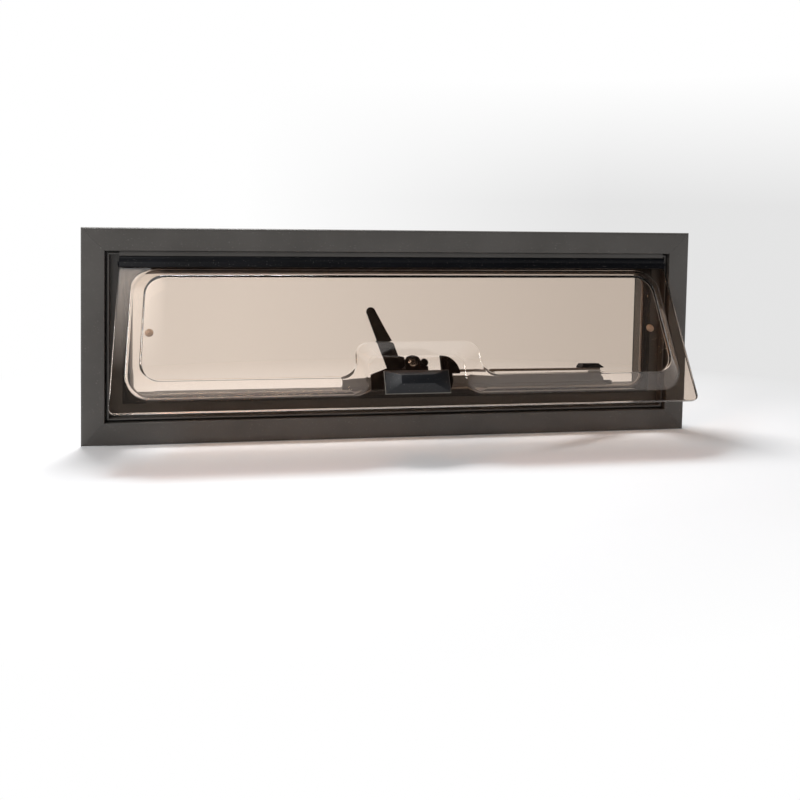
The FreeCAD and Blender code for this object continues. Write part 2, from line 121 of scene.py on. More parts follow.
# %% [markdown]
# A finish is a small network of shader nodes. This helper starts one with a Principled
# shader, so that each finish below only says what is special about it. Noise is read from
# Object coordinates, which stay on the piece when it moves.


# %% Helpers for finishes
def finish(name, color, roughness, **inputs):
    material = bpy.data.materials.new(name)
    material.use_nodes = True
    nodes = material.node_tree.nodes
    shader = nodes["Principled BSDF"]
    shader.inputs["Base Color"].default_value = (*color, 1)
    shader.inputs["Roughness"].default_value = roughness
    for key, value in inputs.items():
        shader.inputs[key.replace("_", " ")].default_value = value
    return material, nodes, material.node_tree.links, shader


def speckle(nodes, links, scale, detail=3.0, stretch=(1, 1, 1)):
    """Noise on Object coordinates, scale in spots per metre, stretched along an axis if asked."""
    place = nodes.new("ShaderNodeTexCoord")
    mapping = nodes.new("ShaderNodeMapping")
    mapping.inputs["Scale"].default_value = stretch
    noise = nodes.new("ShaderNodeTexNoise")
    noise.inputs["Scale"].default_value = scale
    noise.inputs["Detail"].default_value = detail
    links.new(place.outputs["Object"], mapping.inputs["Vector"])
    links.new(mapping.outputs["Vector"], noise.inputs["Vector"])
    return noise.outputs["Fac"]


def spread(nodes, links, value, low, high, to_low, to_high):
    """Maps a value from low..high to to_low..to_high."""
    node = nodes.new("ShaderNodeMapRange")
    for key, number in (("From Min", low), ("From Max", high), ("To Min", to_low), ("To Max", to_high)):
        node.inputs[key].default_value = number
    links.new(value, node.inputs["Value"])
    return node.outputs["Result"]


def tint(nodes, links, value, first, second):
    """Mixes two colours by a value; the first may be the output of another node."""
    node = nodes.new("ShaderNodeMix")
    node.data_type = "RGBA"
    links.new(value, node.inputs["Factor"])
    if isinstance(first, tuple):
        node.inputs["A"].default_value = (*first, 1)
    else:
        links.new(first, node.inputs["A"])
    node.inputs["B"].default_value = (*second, 1)
    return node.outputs["Result"]


def combine(nodes, links, kind, first, second):
    """Arithmetic on two values, each a number or a node's output."""
    node = nodes.new("ShaderNodeMath")
    node.operation = kind
    for socket, value in zip(node.inputs, (first, second)):
        if isinstance(value, (int, float)):
            socket.default_value = value
        else:
            links.new(value, socket)
    return node.outputs["Value"]


def relief(nodes, links, shader, value, strength, distance):
    node = nodes.new("ShaderNodeBump")
    node.inputs["Strength"].default_value = strength
    node.inputs["Distance"].default_value = distance
    links.new(value, node.inputs["Height"])
    links.new(node.outputs["Normal"], shader.inputs["Normal"])


DUST = (0.34, 0.32, 0.29)
DUST_SCALE = 700.0
DUST_SHARE = (0.70, 0.76)
CLOUD_SCALE = 14.0
CLOUD_SHARE = (0.35, 0.65)
GRAIN_SHARE = (0.3, 0.7)
GRAIN_STRENGTH = 0.35


def painted(name, dark, light, roughness, grain, depth, streak=(1, 1, 1), dust=0.0, **inputs):
    """A finish with cloudy tone, a varied roughness, a fine grain and, if asked, dust specks."""
    material, nodes, links, shader = finish(name, light, roughness, **inputs)
    cloud = speckle(nodes, links, CLOUD_SCALE, 4.0, streak)
    color = tint(nodes, links, spread(nodes, links, cloud, *CLOUD_SHARE, 0, 1), dark, light)
    if dust:
        dots = spread(nodes, links, speckle(nodes, links, DUST_SCALE, 1.0), *DUST_SHARE, 0, dust)
        color = tint(nodes, links, dots, color, DUST)
    links.new(color, shader.inputs["Base Color"])
    fine = speckle(nodes, links, grain, 2.0, streak)
    links.new(spread(nodes, links, fine, *GRAIN_SHARE, roughness - 0.06, roughness + 0.08),
              shader.inputs["Roughness"])
    relief(nodes, links, shader, fine, GRAIN_STRENGTH, depth)
    return material


# %% [markdown]
# The opaque finishes. Each has a dark and a light tone that drift into each other, because
# no real surface is one flat colour. The paint on the frame is satin and lightly dusty, the
# rubber is matt, the latch is glossy moulded plastic, and the bar and arm are brushed along
# their length, so their noise is stretched that way.

# %% Opaque finishes
LENGTHWISE = (0.08, 1, 1)
FINISHES = {
    "frame_paint": painted("frame_paint", (0.066, 0.060, 0.054), (0.084, 0.077, 0.070), 0.40, 1500, 0.00004,
                           dust=0.35),
    "seal_rubber": painted("seal_rubber", (0.006, 0.006, 0.007), (0.011, 0.011, 0.012), 0.55, 900, 0.00008,
                           dust=0.15),
    "trim_grey": painted("trim_grey", (0.34, 0.33, 0.32), (0.44, 0.43, 0.42), 0.42, 1200, 0.00003),
    "clamp_plastic": painted("clamp_plastic", (0.020, 0.020, 0.021), (0.026, 0.026, 0.027), 0.50, 1800,
                             0.00008, dust=0.2),
    "hinge_black": painted("hinge_black", (0.0035, 0.0038, 0.005), (0.006, 0.0065, 0.009), 0.42, 1400,
                           0.00003, dust=0.35, Specular_IOR_Level=0.12),
    "latch_black": painted("latch_black", (0.004, 0.0045, 0.006), (0.008, 0.009, 0.012), 0.42, 1600, 0.00004,
                           dust=0.25, Specular_IOR_Level=0.35),
    "rim_grey": painted("rim_grey", (0.13, 0.125, 0.11), (0.20, 0.19, 0.17), 0.35, 1200, 0.00003),
    "bar_metal": painted("bar_metal", (0.10, 0.095, 0.09), (0.14, 0.135, 0.13), 0.36, 900, 0.00003,
                         LENGTHWISE, Metallic=0.5),
    "stay_metal": painted("stay_metal", (0.15, 0.135, 0.12), (0.21, 0.19, 0.17), 0.36, 900, 0.00003,
                          LENGTHWISE, Metallic=0.5),
    "screw_steel": painted("screw_steel", (0.50, 0.50, 0.50), (0.68, 0.68, 0.67), 0.18, 1500, 0.00003,
                           Metallic=1.0),
    "plug_clear": painted("plug_clear", (0.62, 0.60, 0.57), (0.78, 0.76, 0.73), 0.25, 900, 0.00003),
}
print("opaque finishes:", len(FINISHES))

# %% [markdown]
# Smoked acrylic takes its brown tint from depth: a ray that runs far inside the sheet, as
# along a cut edge, comes out darker. So the tint is a volume that absorbs, and the surface
# is clear. Lamp light is let straight through with a part of the tint at each surface,
# because the real pane casts only a pale brown shadow.


# %% Smoked acrylic
SMOKE = (0.626, 0.352, 0.088)
SMOKE_DENSITY = 100.0
SHADOW_TINT = (0.905, 0.845, 0.80)
ACRYLIC_IOR = 1.49
WAVE_SCALE = 9.0
WAVE_STRENGTH = 0.25
BOTH_SHEETS = 0.0063


def acrylic(name, wave):
    """Polished smoked sheet; wave is the height in metres of its faint unevenness."""
    material, nodes, links, shader = finish(name, (1, 1, 1), 0.0, IOR=ACRYLIC_IOR, Transmission_Weight=1.0)
    output = nodes["Material Output"]
    light_path = nodes.new("ShaderNodeLightPath")
    through = nodes.new("ShaderNodeBsdfTransparent")
    through.inputs["Color"].default_value = (*SHADOW_TINT, 1)
    mix = nodes.new("ShaderNodeMixShader")
    links.new(light_path.outputs["Is Shadow Ray"], mix.inputs["Fac"])
    links.new(shader.outputs["BSDF"], mix.inputs[1])
    links.new(through.outputs["BSDF"], mix.inputs[2])
    links.new(mix.outputs["Shader"], output.inputs["Surface"])
    smoke = nodes.new("ShaderNodeVolumeAbsorption")
    smoke.inputs["Color"].default_value = (*SMOKE, 1)
    smoke.inputs["Density"].default_value = SMOKE_DENSITY
    links.new(smoke.outputs["Volume"], output.inputs["Volume"])
    relief(nodes, links, shader, speckle(nodes, links, WAVE_SCALE, 1.0), WAVE_STRENGTH, wave)
    return material


for slot_name, wave in (("acrylic_inner", 0.00004), ("acrylic_outer", 0.00008)):
    FINISHES[slot_name] = acrylic(slot_name, wave)
print("acrylic passes about", [round(math.exp(-SMOKE_DENSITY * (1 - c) * BOTH_SHEETS), 2) for c in SMOKE])

# %% [markdown]
# Meshes are built from outlines. One helper rounds the corners of any outline with the same
# number of points each time, so that two outlines can be joined by a strip of faces. The
# class Stack collects such rings, joins them by strips and closes them by flat fills.


# %% Rounded outlines and stacks of rings
def rounded(points, radii, steps=8):
    """Points of a closed outline whose corners are arcs of their own radius."""
    outline = []
    for i, (here, radius) in enumerate(zip(points, radii)):
        here = Vector(here)
        before = (Vector(points[i - 1]) - here).normalized()
        after = (Vector(points[(i + 1) % len(points)]) - here).normalized()
        half = before.angle(after) / 2
        middle = here + (before + after).normalized() * (radius / math.sin(half))
        start = here + before * (radius / math.tan(half)) - middle
        end = here + after * (radius / math.tan(half)) - middle
        sweep = start.angle_signed(end)
        for k in range(steps + 1):
            outline.append(middle + Matrix.Rotation(-sweep * k / steps, 2) @ start)
    return outline


class Stack:
    """Collects rings of points and joins them by strips and flat fills into one mesh."""

    def __init__(self):
        self.vertices = []
        self.faces = []

    def ring(self, points):
        start = len(self.vertices)
        self.vertices.extend(points)
        return list(range(start, len(self.vertices)))

    def strip(self, first, second):
        count = len(first)
        for i in range(count):
            j = (i + 1) % count
            self.faces.append((first[i], first[j], second[j], second[i]))

    def tube(self, rings):
        """Joins rings in turn and the last to the first, as round a closed section."""
        made = [self.ring(points) for points in rings]
        for first, second in zip(made, made[1:] + made[:1]):
            self.strip(first, second)

    def fill(self, *rings):
        loops = [[self.vertices[i] for i in ring] for ring in rings]
        names = [i for ring in rings for i in ring]
        for a, b, c in tessellate_polygon(loops):
            self.faces.append((names[a], names[b], names[c]))

    def shell(self, rings):
        """Joins rings in turn and fills the first and the last."""
        made = [self.ring(points) for points in rings]
        for first, second in zip(made, made[1:]):
            self.strip(first, second)
        self.fill(made[0])
        self.fill(made[-1])



# %% Hand over a piece
MERGE_NEW = 0.000002
MERGE_PACKED = 0.000005
BEVEL_STEPS = 3


def hand_over(mesh, name, body, slot, nodes, smooth_angle=35):
    mesh.shade_smooth()
    mesh.set_sharp_from_angle(angle=math.radians(smooth_angle))
    made = bpy.data.objects.new(name, mesh)
    bpy.context.scene.collection.objects.link(made)
    mesh.materials.clear()
    mesh.materials.append(FINISHES[slot])
    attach(made, body)
    if nodes:
        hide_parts(*nodes)
    print(name, len(mesh.vertices), "points", len(mesh.polygons), "faces")


def soften(form, width, least=30):
    """Bevels the edges of a closed mesh that are sharper than the given angle."""
    bmesh.ops.dissolve_limit(form, angle_limit=math.radians(1), verts=form.verts, edges=form.edges)
    sharp = [e for e in form.edges if e.is_manifold and e.calc_face_angle() > math.radians(least)]
    bmesh.ops.bevel(form, geom=sharp, offset=width * MM, offset_type="OFFSET", segments=BEVEL_STEPS,
                    profile=0.5, affect="EDGES", clamp_overlap=True)


def piece(name, stack, body, slot, nodes, soft=0.0):
    mesh = bpy.data.meshes.new(name)
    mesh.from_pydata([tuple(v) for v in stack.vertices], [], stack.faces)
    form = bmesh.new()
    form.from_mesh(mesh)
    bmesh.ops.remove_doubles(form, verts=form.verts, dist=MERGE_NEW)
    bmesh.ops.recalc_face_normals(form, faces=form.faces)
    if soft:
        soften(form, soft)
    form.to_mesh(mesh)
    form.free()
    hand_over(mesh, name, body, slot, nodes)


def dressed(name, node, body, shift=(0, 0, 0), soft=0.0):
    """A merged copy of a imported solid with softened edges, moved by a shift in millimetres."""
    mesh = frame["nodes"][node].data.copy()
    form = bmesh.new()
    form.from_mesh(mesh)
    bmesh.ops.remove_doubles(form, verts=form.verts, dist=MERGE_PACKED)
    bmesh.ops.translate(form, verts=form.verts, vec=Vector(shift) * MM)
    if soft:
        soften(form, soft)
    form.to_mesh(mesh)
    form.free()
    hand_over(mesh, name, body, SLOTS[node], [node])


SLOTS = {part["node"]: part["material_slot"] for part in frame["record"]["subparts"]}
print("helpers ready for", len(SLOTS), "nodes")

# %% [markdown]
# The frame's rails are one extrusion, cut at 45 degrees and joined at the corners. Its
# section is drawn once, from the rounded outer edge over the crowned face, down to the
# channel floor with its ridge, and round the reveal to the back. Each rail is that section
# at both of its mitred ends, with a hair of room at the joint, which shows as a fine line.

# %% Frame rails
EDGE_RADIUS = 2.4
CROWN = 0.9
FLANGE = 3.4
RIDGE = (27.4, 29.0, 1.5)
WEB = 2.0
JOINT = 0.06
FACE_EDGE = 0.4
ARC_STEPS = 6

section = [(0, 0)]
for k in range(1, ARC_STEPS + 1):
    a = math.radians(90 * k / ARC_STEPS)
    section.append((EDGE_RADIUS * (1 - math.cos(a)), -EDGE_RADIUS * math.sin(a)))
for k in range(1, ARC_STEPS):
    share = k / ARC_STEPS
    section.append((EDGE_RADIUS + share * (FACE - EDGE_RADIUS),
                    -EDGE_RADIUS - (FLANGE - EDGE_RADIUS) * share - CROWN * share * (1 - share)))
section += [(FACE - FACE_EDGE, -FLANGE), (FACE, -FLANGE + FACE_EDGE), (FACE, FLOOR_DEPTH),
            (RIDGE[0], FLOOR_DEPTH), (RIDGE[0], RIDGE[2]), (RIDGE[1], RIDGE[2]), (RIDGE[1], FLOOR_DEPTH),
            (REVEAL, FLOOR_DEPTH), (REVEAL, WALL_DEPTH), (REVEAL - WEB, WALL_DEPTH),
            (REVEAL - WEB, FLOOR_DEPTH + WEB), (FACE - WEB, FLOOR_DEPTH + WEB), (FACE - WEB, 0)]


def rail_end(corner, u, y, along):
    """The section's point at a corner of the frame, drawn back along the rail by the joint."""
    x = corner[0] * (SIDE - u)
    z = TOP - u if corner[1] > 0 else BOTTOM + u
    return in_frame(x + along[0] * JOINT, y, z + along[1] * JOINT)


RAILS = {"top": ((-1, 1), (1, 1), (1, 0)), "bottom": ((-1, -1), (1, -1), (1, 0)),
         "left": ((-1, -1), (-1, 1), (0, 1)), "right": ((1, -1), (1, 1), (0, 1))}
for side, (first, last, along) in RAILS.items():
    rail = Stack()
    back = (-along[0], -along[1])
    rail.shell([[rail_end(first, u, y, along) for u, y in section],
                [rail_end(last, u, y, back) for u, y in section]])
    piece("rail_" + side, rail, "frame", "frame_paint", ["frame_" + side + "_rail"])

# %% [markdown]
# The rubber seal lies on the channel floor. Its outside corners are cut square and its
# inside corners are round. Rings of points go up its outer side, round its soft front edges
# and down its inner side, and a shallow groove runs along the middle of its front.

# %% Seal
SEAL_OUT = 42.8
SEAL_WIDTH = 8.0
SEAL_IN = SEAL_OUT + SEAL_WIDTH
SEAL_FRONT = 6.6
SEAL_SOFT = 1.3
SEAL_CORNER = 16.0
SEAL_SQUARE = 0.6
SEAL_GROOVE = ((0.36, 0.0), (0.42, 0.5), (0.58, 0.5), (0.64, 0.0))


def frame_ring(inset, radius, y):
    """A rounded rectangle inside the frame's outer edge, at depth y."""
    left, right, low, high = -SIDE + inset, SIDE - inset, BOTTOM + inset, TOP - inset
    points = rounded([(left, low), (right, low), (right, high), (left, high)], [radius] * 4)
    return [in_frame(x, y, z) for x, z in points]


def seal_place(share):
    """Inset and corner radius at a share of the way across the seal."""
    radius = SEAL_SQUARE + (SEAL_CORNER - SEAL_SQUARE) * share
    return SEAL_OUT + (SEAL_IN - SEAL_OUT) * share, radius


def seal_edge(quarter):
    """How far the soft front edge lies in from the side, as a share, and from the front."""
    a = math.radians(90 * quarter / 4)
    return SEAL_SOFT * (1 - math.cos(a)) / SEAL_WIDTH, SEAL_FRONT + SEAL_SOFT * (1 - math.sin(a))


seal_profile = [(0.0, FLOOR_DEPTH)]
seal_profile += [seal_edge(quarter) for quarter in range(5)]
seal_profile += [(share, SEAL_FRONT + sunk) for share, sunk in SEAL_GROOVE]
seal_profile += [(1 - share, y) for share, y in map(seal_edge, range(4, -1, -1))]
seal_profile.append((1.0, FLOOR_DEPTH))
seal = Stack()
seal.tube([frame_ring(*seal_place(share), y) for share, y in seal_profile])
piece("seal", seal, "frame", "seal_rubber", ["seal_top", "seal_bottom", "seal_left", "seal_right"])

# %% [markdown]
# Geometry Nodes suit what follows a path. The grey trim runs round the seal's inner edge:
# the tree draws the path as a rectangle with filleted corners, draws the trim's small
# section, sweeps it along the path and sets the material. Its sizes are inputs with names.


# %% Helpers for node trees
def new_tree(name, inputs):
    """An empty tree with geometry in and out and named inputs of the given kinds."""
    tree = bpy.data.node_groups.new(name, "GeometryNodeTree")
    tree.interface.new_socket("Geometry", in_out="INPUT", socket_type="NodeSocketGeometry")
    for label, kind in inputs.items():
        tree.interface.new_socket(label, in_out="INPUT", socket_type=kind)
    tree.interface.new_socket("Geometry", in_out="OUTPUT", socket_type="NodeSocketGeometry")
    return tree, tree.nodes.new("NodeGroupInput"), tree.nodes.new("NodeGroupOutput")


def end_tree(tree, result, sizes, ending):
    """Every tree ends in Realize Instances and Set Material, so that plain mesh comes out."""
    realize = tree.nodes.new("GeometryNodeRealizeInstances")
    paint = tree.nodes.new("GeometryNodeSetMaterial")
    tree.links.new(result, realize.inputs["Geometry"])
    tree.links.new(realize.outputs["Geometry"], paint.inputs["Geometry"])
    tree.links.new(sizes.outputs["Material"], paint.inputs["Material"])
    tree.links.new(paint.outputs["Geometry"], ending.inputs[0])


def grow(name, tree, values, points, body, slot, nodes):
    """Runs a tree on some points and hands over the plain mesh that it makes."""
    seed_mesh = bpy.data.meshes.new(name + "_seed")
    seed_mesh.from_pydata([tuple(p) for p in points], [], [])
    carrier = bpy.data.objects.new(name + "_seed", seed_mesh)
    bpy.context.scene.collection.objects.link(carrier)
    modifier = carrier.modifiers.new("grow", "NODES")
    modifier.node_group = tree
    values = dict(values, Material=FINISHES[slot])
    for socket in tree.interface.items_tree:
        if socket.in_out == "INPUT" and socket.name in values:
            modifier[socket.identifier] = values[socket.name]
    depsgraph = bpy.context.evaluated_depsgraph_get()
    mesh = bpy.data.meshes.new_from_object(carrier.evaluated_get(depsgraph))
    carrier.modifiers.remove(modifier)
    bpy.data.objects.remove(carrier)
    hand_over(mesh, name, body, slot, nodes, 40)


# %% Trim along the seal
FLOAT = "NodeSocketFloat"
tree, sizes, ending = new_tree("strip_round_a_rectangle", {
    "Width": FLOAT, "Height": FLOAT, "Corner": FLOAT, "Strip Width": FLOAT, "Strip Height": FLOAT,
    "Strip Corner": FLOAT, "Centre": "NodeSocketVector", "Material": "NodeSocketMaterial"})


def filleted(tree, sizes, width, height, corner, count):
    """A rectangle curve with filleted corners, its sizes read from the tree's inputs."""
    shape = tree.nodes.new("GeometryNodeCurvePrimitiveQuadrilateral")
    bend = tree.nodes.new("GeometryNodeFilletCurve")
    bend.mode = "POLY"
    bend.inputs["Count"].default_value = count
    tree.links.new(sizes.outputs[width], shape.inputs["Width"])
    tree.links.new(sizes.outputs[height], shape.inputs["Height"])
    tree.links.new(shape.outputs["Curve"], bend.inputs["Curve"])
    tree.links.new(sizes.outputs[corner], bend.inputs["Radius"])
    return bend.outputs["Curve"]


upright = tree.nodes.new("GeometryNodeSetCurveNormal")
upright.mode = "Z_UP"
sweep = tree.nodes.new("GeometryNodeCurveToMesh")
stand = tree.nodes.new("GeometryNodeTransform")
stand.inputs["Rotation"].default_value = (math.radians(90), 0, 0)
tree.links.new(filleted(tree, sizes, "Width", "Height", "Corner", 12), upright.inputs["Curve"])
tree.links.new(upright.outputs["Curve"], sweep.inputs["Curve"])
tree.links.new(filleted(tree, sizes, "Strip Width", "Strip Height", "Strip Corner", 4),
               sweep.inputs["Profile Curve"])
tree.links.new(sweep.outputs["Mesh"], stand.inputs["Geometry"])
tree.links.new(sizes.outputs["Centre"], stand.inputs["Translation"])
end_tree(tree, stand.outputs["Geometry"], sizes, ending)

TRIM_WIDTH = 2.4
TRIM_HEIGHT = 1.6
trim_inset = SEAL_IN + TRIM_WIDTH / 2
trim_centre = in_frame(0, FLOOR_DEPTH - TRIM_HEIGHT / 2, (TOP + BOTTOM) / 2)
grow("trim", tree, {
    "Width": 2 * (SIDE - trim_inset) * MM, "Height": (TOP - BOTTOM - 2 * trim_inset) * MM,
    "Corner": (SEAL_CORNER - TRIM_WIDTH / 2) * MM, "Strip Width": TRIM_WIDTH * MM,
    "Strip Height": TRIM_HEIGHT * MM, "Strip Corner": 0.45 * MM, "Centre": trim_centre},
     [(0, 0, 0)], "frame", "trim_grey", ["trim_top", "trim_bottom", "trim_left", "trim_right"])
print("trim centre", [round(v, 4) for v in trim_centre])

# %% [markdown]
# The two sheets of the pane. The inner sheet is flat. The outer one is drawn into a dome by
# vacuum while it is hot, so its walls are sloped and its edges softly rounded, and the dome
# has a notch at the bottom where the latch block sits. Rings of points follow the outline
# at growing insets, so the notch opens out as the dome rises. A narrow flat ring lies beside
# each bend, because the shading of a wide face would else lean with its edge and bend light.

# %% Outlines of the sheets and the dome
EDGE_ROUND = 0.7
EDGE_FLAT = 0.3
EDGE_CORNER, EDGE_CORNER_TOP = 6.0, 1.2
BORDER_SIDE = 14.3
BORDER_BOTTOM = 12.8
DOME_TOP = 12.4
DOME_RISE = 15.0
BASE_RADIUS = 4.5
FACE_RADIUS = 4.0
NOTCH_HALF = 51.0
NOTCH_TOP = 115.5
NOTCH_FLARE = 1.2
NOTCH_SLOPE = 0.72
DOME_CORNER = 25.0
NOTCH_CORNER = 12.0
NOTCH_FILLET = 15.0
BEND_STEPS = 6
FLAT_RING = 0.8


def sheet_outline(inset):
    half, low, high = PANE_HALF - inset, PANE_LENGTH - inset, PANE_TOP + inset
    corners = [(PANE_X - half, low), (PANE_X + half, low), (PANE_X + half, high), (PANE_X - half, high)]
    return rounded(corners, [EDGE_CORNER - inset] * 2 + [EDGE_CORNER_TOP - inset] * 2)


def dome_outline(inset):
    wide = PANE_HALF - BORDER_SIDE - inset
    low = PANE_LENGTH - BORDER_BOTTOM - inset
    high = DOME_TOP + inset
    notch = NOTCH_TOP - NOTCH_SLOPE * inset
    narrow = NOTCH_HALF + inset
    mouth = narrow + NOTCH_FLARE
    corner = DOME_CORNER - inset / 3
    inside = NOTCH_CORNER + 0.15 * inset
    fillet = NOTCH_FILLET + 0.15 * inset
    points = [(PANE_X - wide, low), (LATCH_X - mouth, low), (LATCH_X - narrow, notch),
              (LATCH_X + narrow, notch), (LATCH_X + mouth, low), (PANE_X + wide, low),
              (PANE_X + wide, high), (PANE_X - wide, high)]
    return rounded(points, [corner, fillet, inside, inside, fillet, corner, corner, corner])


def edge_rings(stack, n_low, n_high):
    """The polished edge of a sheet, from its outer face round to its inner one."""
    turns = [math.radians(a) for a in (0, 30, 60, 90)]
    places = [(EDGE_ROUND + EDGE_FLAT, n_high)]
    places += [(EDGE_ROUND * (1 - math.sin(a)), n_high - EDGE_ROUND * (1 - math.cos(a))) for a in turns]
    places += [(EDGE_ROUND * (1 - math.sin(a)), n_low + EDGE_ROUND * (1 - math.cos(a)))
               for a in reversed(turns)]
    places.append((EDGE_ROUND + EDGE_FLAT, n_low))
    rings = [stack.ring([on_pane(x, s, n) for x, s in sheet_outline(inset)]) for inset, n in places]
    for first, second in zip(rings, rings[1:]):
        stack.strip(first, second)
    return rings[0], rings[-1]


def wall_profile(thinner, base_radius, face_radius):
    """(inset, n) from the border up the sloped wall to the face, with both bends rounded."""
    start = thinner * (math.sqrt(2) - 1)
    low, high = SHEET - thinner, SHEET + DOME_RISE - thinner
    bend = math.radians(45)
    reach = math.tan(bend / 2)
    foot, brow = start - base_radius * reach, start + DOME_RISE + face_radius * reach
    profile = [(foot - FLAT_RING, low)]
    for k in range(BEND_STEPS + 1):
        a = bend * k / BEND_STEPS
        profile.append((foot + base_radius * math.sin(a), low + base_radius * (1 - math.cos(a))))
    for k in range(BEND_STEPS + 1):
        a = bend * (1 - k / BEND_STEPS)
        profile.append((brow - face_radius * math.sin(a), high - face_radius * (1 - math.cos(a))))
    profile.append((brow + FLAT_RING, high))
    return profile


def dome_rings(stack, profile):
    rings = [stack.ring([on_pane(x, s, n) for x, s in dome_outline(inset)]) for inset, n in profile]
    for first, second in zip(rings, rings[1:]):
        stack.strip(first, second)
    return rings[0], rings[-1]


# %% Make both sheets
BOND_GAP = 0.05
outer = Stack()
rim_out, rim_in = edge_rings(outer, BOND_GAP, SHEET)
foot_out, face_out = dome_rings(outer, wall_profile(0, BASE_RADIUS, FACE_RADIUS))
inner_profile = wall_profile(SHEET, BASE_RADIUS + SHEET, FACE_RADIUS - SHEET + 0.5)
foot_in, face_in = dome_rings(outer, [(inset, max(n, BOND_GAP)) for inset, n in inner_profile])
outer.fill(rim_out, foot_out)
outer.fill(face_out)
outer.fill(rim_in, foot_in)
outer.fill(face_in)
piece("dome_sheet", outer, "pane", "acrylic_outer", ["outer_dome_sheet"])

flat = Stack()
flat_out, flat_in = edge_rings(flat, -SHEET, 0)
flat.fill(flat_out)
flat.fill(flat_in)
piece("flat_sheet", flat, "pane", "acrylic_inner", ["inner_sheet"])

# %% [markdown]
# The hinge is a bead on the pane's rail that turns in a socket on the frame's rail. The
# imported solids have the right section, so merged copies are used, moved with the pane to
# the right by 4 mm, and their edges are softened as an extrusion's are.

# %% Hinge
for name, node, body in (("hinge_rail_fixed", "hinge_frame_rail", "frame"),
                         ("hinge_rail_moving", "hinge_sash_rail", "pane"),
                         ("hinge_caps", "hinge_end_caps", "pane")):
    dressed(name, node, body, (PANE_X, 0, 0), 0.15)

# %% [markdown]
# The latch is moulded plastic. Its parts are plates with their own outlines, drawn on the
# pane in millimetres, and blocks that taper from one outline to another. A bevel of a few
# tenths catches the light along their edges, as a moulding's edge does.


# %% Plates and posts on the pane
def pane_slab(stack, points, n_low, n_high, radii=None, top=None):
    """A plate between two distances from the bond; the far outline may be another one."""
    def outline(corners):
        return rounded(corners, radii, 6) if radii else corners
    stack.shell([[on_pane(x, s, n_low) for x, s in outline(points)],
                 [on_pane(x, s, n_high) for x, s in outline(top or points)]])


def circle(x, s, radius, count=48):
    return [(x + radius * math.cos(2 * math.pi * k / count), s + radius * math.sin(2 * math.pi * k / count))
            for k in range(count)]


def turned(stack, x, s, profile, count=48):
    """A turned form on an axis square to the pane, from (radius, n) pairs."""
    stack.shell([[on_pane(a, b, n) for a, b in circle(x, s, radius, count)] for radius, n in profile])


def box_outline(x_low, x_high, s_low, s_high):
    return [(x_low, s_low), (x_high, s_low), (x_high, s_high), (x_low, s_high)]


def grown(corners, by):
    """A rectangle that lies further out by the given amount."""
    (x_low, s_low), _, (x_high, s_high), _ = corners
    return box_outline(x_low - by, x_high + by, s_low - by, s_high + by)


# %% Latch block and the light rim round its foot
BLOCK_FOOT = box_outline(LATCH_X - 36.0, LATCH_X + 33.2, 132.4, 156.8)
BLOCK_PLATEAU = box_outline(LATCH_X - 20.5, LATCH_X + 14.0, 140.4, 150.0)
BLOCK_PLINTH = 2.4
BLOCK_RISE = 12.0
RIM = 0.6
GLUE = 0.05

block = Stack()
block.shell([[on_pane(x, s, n) for x, s in corners] for corners, n in (
    (BLOCK_FOOT, SHEET + GLUE), (BLOCK_FOOT, SHEET + BLOCK_PLINTH), (BLOCK_PLATEAU, SHEET + BLOCK_RISE))])
piece("latch_hood", block, "pane", "latch_black", ["latch_block"], 0.5)

rim = Stack()
rim.tube([[on_pane(x, s, n) for x, s in grown(BLOCK_FOOT, by)] for by, n in (
    (GLUE, SHEET + GLUE), (RIM, SHEET + GLUE), (RIM, SHEET + 0.8), (GLUE, SHEET + 1.2))])
piece("latch_rim", rim, "pane", "rim_grey", ["block_rim"])

# %% Latch base inside the pane, with the stop and the ribbed bracket
BASE_IN = -6.5
BASE_OUT = -SHEET - GLUE
BASE_TOP = 129.5
BASE_LOW = 150.6
SEAT_RADIUS = 8.8
SEAT_EDGE = 0.4
HEAD_RADIUS = 4.6
HEAD_ROOM = 0.4
BRACKET_LEFT = 32.4
BRACKET_RADIUS = 20.6

base = Stack()
pane_slab(base, [(-45.5, BASE_LOW), (41.0, BASE_LOW), (44.0, BASE_TOP + 13), (44.0, BASE_TOP + 3),
                 (-28.0, BASE_TOP - 2), (-45.5, BASE_TOP + 4.5)], BASE_IN, BASE_OUT)
pane_slab(base, box_outline(HUB_X - SEAT_RADIUS, HUB_X + 16.0, HUB_DOWN + 4.5, BASE_TOP + 2),
          BASE_IN + 0.02, BASE_OUT - 0.1)
base.tube([[on_pane(x, s, n) for x, s in circle(HUB_X, HUB_DOWN, radius)] for radius, n in (
    (HEAD_RADIUS + HEAD_ROOM, BASE_OUT), (SEAT_RADIUS - SEAT_EDGE, BASE_OUT),
    (SEAT_RADIUS, BASE_OUT - SEAT_EDGE), (SEAT_RADIUS, BASE_IN), (HEAD_RADIUS + HEAD_ROOM, BASE_IN))])
piece("latch_seat", base, "pane", "latch_black", ["latch_base"], 0.25)

STOP_X = HUB_X + 12.6
stop = Stack()
turned(stop, STOP_X, HUB_DOWN, [(3.2, BASE_IN - 4.0), (4.0, BASE_IN - 3.4), (4.3, BASE_IN - 2.6),
                                (4.3, BASE_OUT - 0.9), (3.4, BASE_OUT - 0.1)])
piece("stop_knob", stop, "pane", "latch_black", ["lever_stop"])

